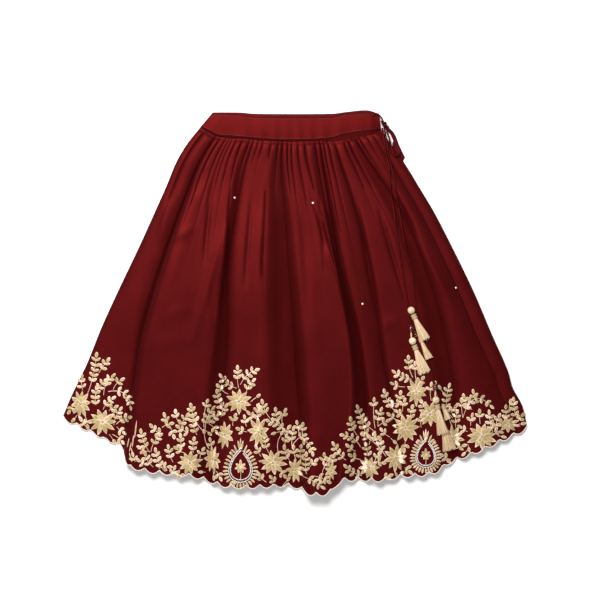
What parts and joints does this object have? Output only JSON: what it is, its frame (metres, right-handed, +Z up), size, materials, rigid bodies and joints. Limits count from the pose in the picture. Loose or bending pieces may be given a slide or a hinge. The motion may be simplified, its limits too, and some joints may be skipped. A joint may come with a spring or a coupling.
{
  "type": "lehenga skirt",
  "caption": "Girl's gathered lehenga skirt laid flat, with a plain waistband, soft flutes, a scalloped embroidered hem and a tied drawstring with thread tassels.",
  "frame": {"origin": "the middle of the whole part's outline on the surface it lies on, at the height of that surface", "axes": "+X across the skirt to the viewer's right, +Y from the hem towards the waist, +Z up from the surface"},
  "size_m": [0.7786, 0.6443, 0.0296],
  "materials": {
    "skirt_silk": "deep red dupion silk, soft sheen",
    "band_silk": "deep red silk, pressed flat",
    "drawstring": "rolled silk cord",
    "tassel_thread": "pale gold rayon thread",
    "bead_glass": "polished"
  },
  "bodies": {
    "root": {"drawstring_cord_1": "drawstring", "drawstring_cord_2": "drawstring", "drawstring_knot": "drawstring", "drawstring_loop": "drawstring", "glass_bead_lower": "bead_glass", "glass_bead_upper": "bead_glass", "side_placket": "band_silk", "skirt_back": "skirt_silk", "skirt_front": "skirt_silk", "tassel_lower_1": "tassel_thread", "tassel_lower_2": "tassel_thread", "tassel_lower_3": "tassel_thread", "tassel_upper_1": "tassel_thread", "tassel_upper_2": "tassel_thread", "tassel_upper_3": "tassel_thread", "waistband_back": "band_silk", "waistband_front": "band_silk"}
  },
  "joints": []
}
